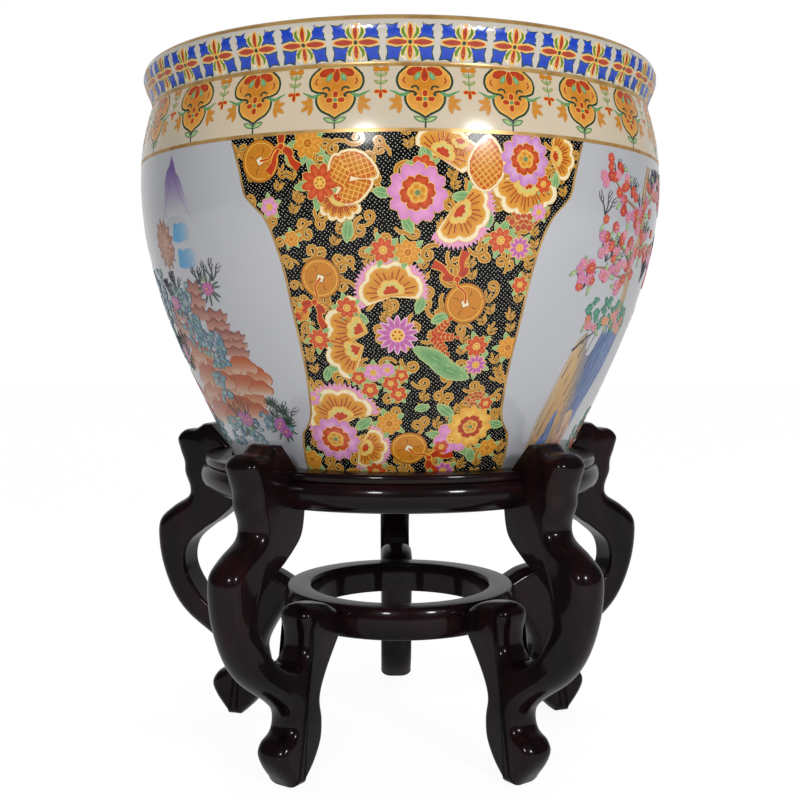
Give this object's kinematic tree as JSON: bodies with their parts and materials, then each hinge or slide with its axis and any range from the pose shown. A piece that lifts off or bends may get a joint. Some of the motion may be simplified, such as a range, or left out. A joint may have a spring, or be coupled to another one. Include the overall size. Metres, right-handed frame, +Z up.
{
  "type": "jardiniere on stand",
  "caption": "Round porcelain fish bowl planter standing in the recessed top ring of a low carved hardwood stand with scrolled legs and a lower stretcher ring.",
  "frame": {"origin": "on the floor, under the common axis of the bowl and the two rings of the stand", "axes": "+Z up along the axis of the bowl; +Y towards the one leg that stands at the back, with a gap between two legs at the front (-Y); +X to the right seen from the front"},
  "size_m": [0.4144, 0.4199, 0.5278],
  "materials": {
    "porcelain": "opaque glazed porcelain with enamel and gilt decoration",
    "lacquered_wood": "high-gloss black-maroon lacquer over hardwood",
    "steel": "plain steel wood screws",
    "plain_wood": "unfinished beech dowels"
  },
  "bodies": {
    "stand": {"upper_ring": "lacquered_wood", "lower_ring": "lacquered_wood", "leg_1": "lacquered_wood", "leg_2": "lacquered_wood", "leg_3": "lacquered_wood", "leg_4": "lacquered_wood", "leg_5": "lacquered_wood", "ring_screw_1": "steel", "ring_screw_2": "steel", "ring_screw_3": "steel", "ring_screw_4": "steel", "ring_screw_5": "steel", "ring_dowel_1": "plain_wood", "ring_dowel_2": "plain_wood", "ring_dowel_3": "plain_wood", "ring_dowel_4": "plain_wood", "ring_dowel_5": "plain_wood"},
    "planter": {"bowl": "porcelain"}
  },
  "joints": [
    {"name": "bowl_lift", "type": "slide", "parent": "stand", "child": "planter", "axis": [0, 0, 1], "range_m": [0, 0.1]}
  ]
}
